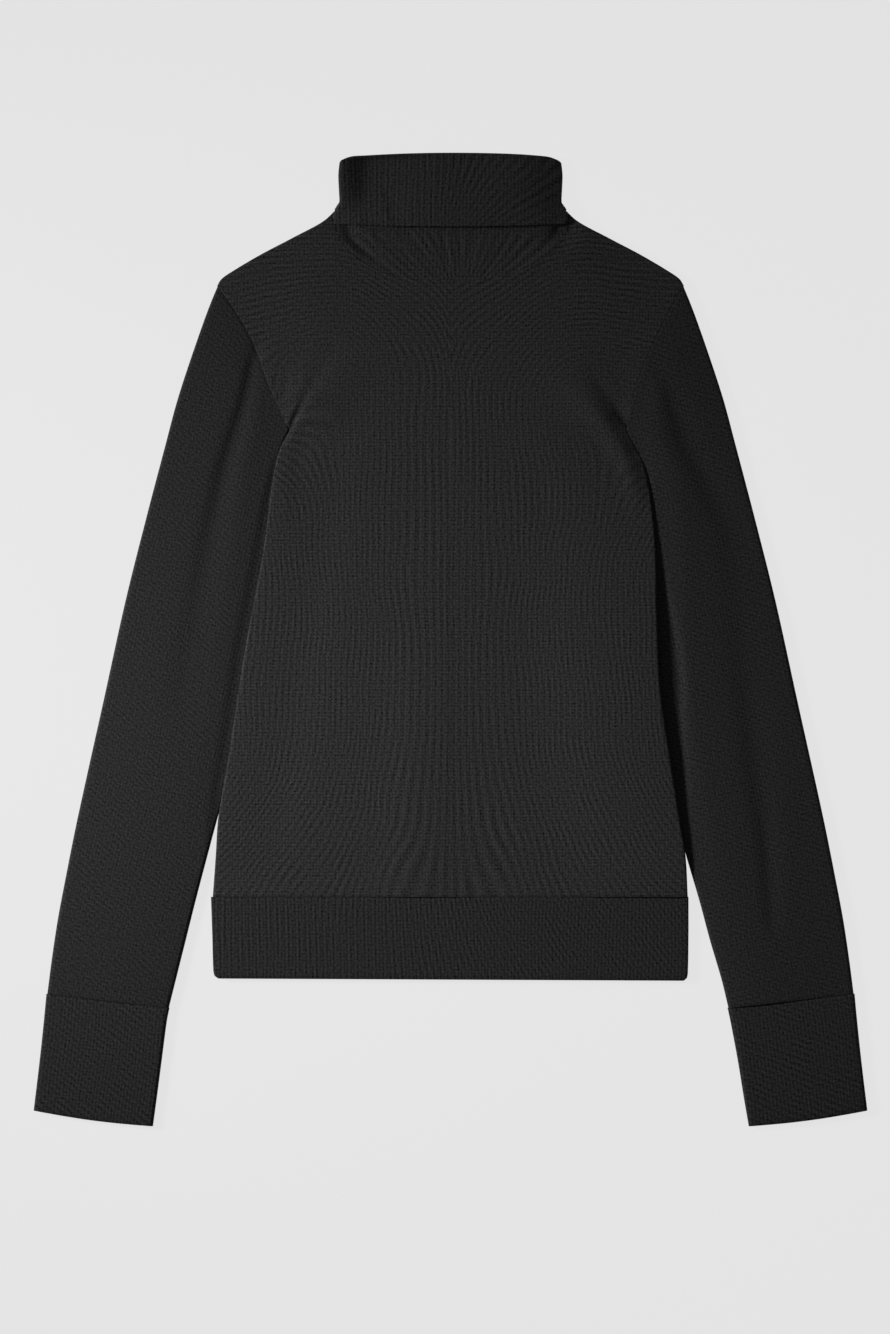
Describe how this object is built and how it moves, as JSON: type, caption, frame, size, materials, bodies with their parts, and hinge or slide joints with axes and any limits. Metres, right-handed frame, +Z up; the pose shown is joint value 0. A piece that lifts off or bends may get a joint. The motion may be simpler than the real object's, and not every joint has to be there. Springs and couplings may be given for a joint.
{
  "type": "turtleneck sweater",
  "caption": "Fine-knit turtleneck sweater laid flat, face up, with a rolled-down collar, set-in sleeves, deep cuffs and a deep hem band.",
  "frame": {"origin": "middle of the laid outline, on the surface that the sweater lies on", "axes": "+Y from the hem to the collar, +X to the wearer's left (the viewer's right), +Z up, away from the surface and out of the sweater's front"},
  "size_m": [0.6664, 0.7774, 0.0116],
  "materials": {
    "jersey_knit": "fine black wool-blend jersey knit, matt with a soft sheen",
    "rib_knit": "firmer black knit with fine lengthways wales, matt"
  },
  "bodies": {
    "root": {"body_front": "jersey_knit", "body_back": "jersey_knit", "sleeve_right": "jersey_knit", "sleeve_left": "jersey_knit", "collar": "rib_knit", "cuff_right": "rib_knit", "cuff_left": "rib_knit", "hem_band_front": "rib_knit", "hem_band_back": "rib_knit"}
  },
  "joints": []
}
